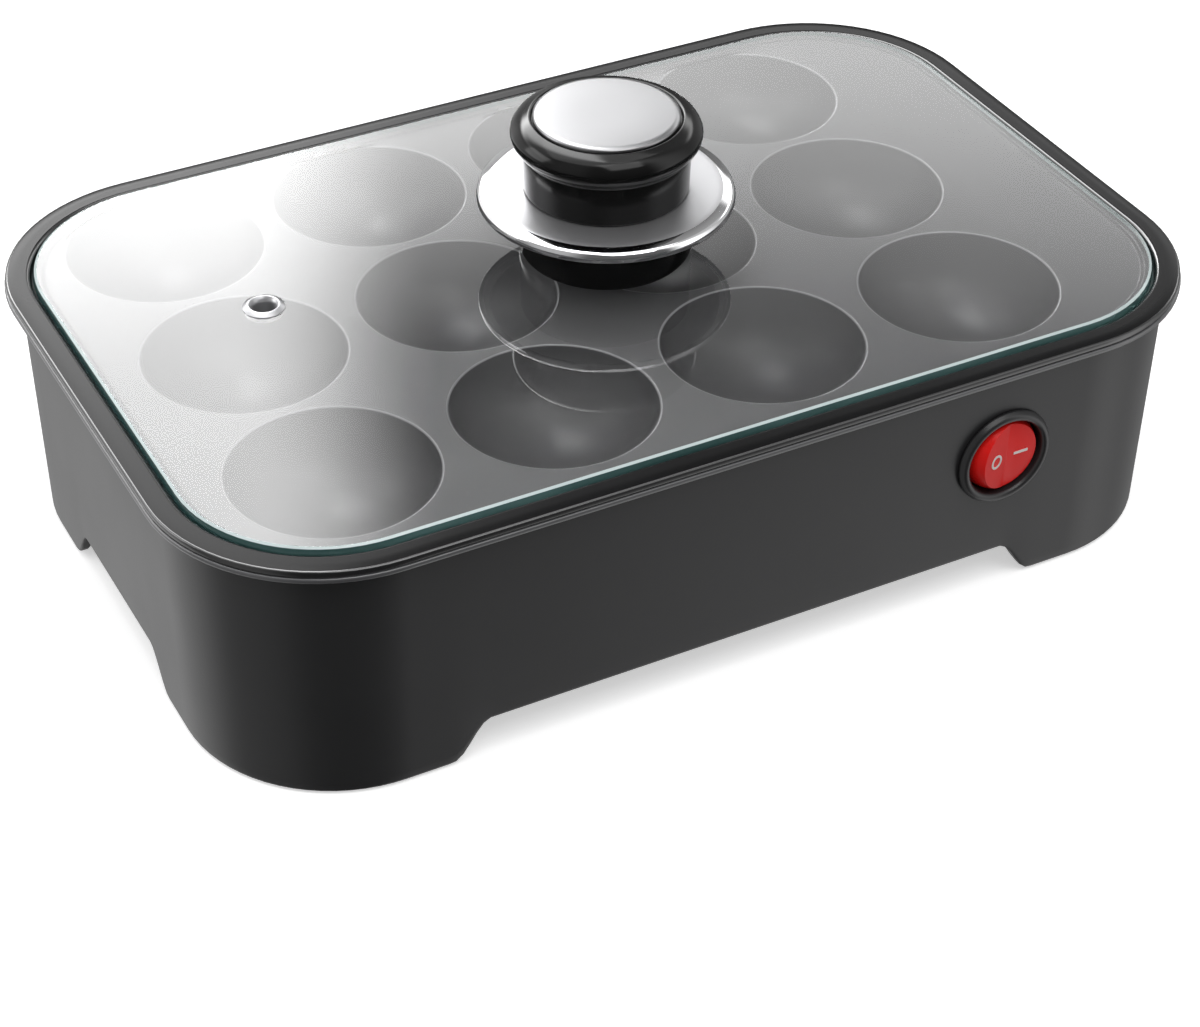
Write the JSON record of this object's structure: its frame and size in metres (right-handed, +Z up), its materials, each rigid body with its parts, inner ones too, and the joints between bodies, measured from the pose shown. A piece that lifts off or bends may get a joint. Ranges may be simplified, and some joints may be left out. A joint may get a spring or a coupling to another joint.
{
  "type": "takoyaki maker",
  "caption": "Countertop takoyaki maker: round-cornered housing on four feet, cooking plate with a grid of half-round cups, rocker switch and a lift-off glass lid with a knob.",
  "frame": {"origin": "on the table, under the middle of the rim", "axes": "+Z up, -Y towards the side with the switch, +X along the length towards the switch's end"},
  "size_m": [0.2428, 0.1588, 0.0963],
  "materials": {
    "housing": "satin dark grey, fine moulded grain",
    "cover": "matte black, moulded",
    "rubber": "matte",
    "screws": "zinc plated",
    "plate": "grey non-stick coating, satin",
    "element": "heat-dulled tube",
    "ceramic": "unglazed",
    "steel": "plain sheet",
    "black_plastic": "semi-gloss moulded",
    "lead_sleeve": "silicone sleeve",
    "brass": "stamped blade",
    "rocker": "translucent red, glossy",
    "marks": "white print",
    "glass": "clear tempered, ground and polished edge",
    "chrome": "polished",
    "gloss_black": "high gloss",
    "cap": "fine satin disc",
    "silicone": "matte"
  },
  "bodies": {
    "base": {"housing": "housing", "bottom_cover": "cover", "foot_pads": "rubber", "cover_screws": "screws", "cooking_plate": "plate", "plate_screws": "screws", "heating_element": "element", "element_insulators": "ceramic", "element_terminals": "steel", "element_clamps": "steel", "clamp_screws": "screws", "heat_shield": "steel", "shield_spacers": "steel", "shield_screws": "screws", "thermostat": "black_plastic", "thermal_fuse": "ceramic", "fuse_clip": "steel", "terminal_block": "ceramic", "power_leads": "lead_sleeve", "cord_gland": "black_plastic", "gland_nut": "black_plastic", "switch_body": "black_plastic", "switch_terminals": "brass", "rocker_pin": "steel"},
    "rocker": {"switch_rocker": "rocker", "rocker_marks": "marks"},
    "lid": {"lid_glass": "glass", "vent_eyelet": "chrome", "knob_base": "gloss_black", "knob_skirt": "chrome", "knob_grip": "gloss_black", "knob_cap": "cap", "knob_insert": "steel", "glass_gasket": "silicone", "knob_washer": "steel", "knob_screw": "screws"}
  },
  "joints": [
    {"name": "rocker_tilt", "type": "hinge", "parent": "base", "child": "rocker", "pos_m": [0.0604, -0.0726, 0.0366], "axis": [0, 0, 1], "range_deg": [-18, 0]},
    {"name": "lid_lift", "type": "slide", "parent": "base", "child": "lid", "axis": [0, 0, 1], "range_m": [0, 0.12]}
  ]
}
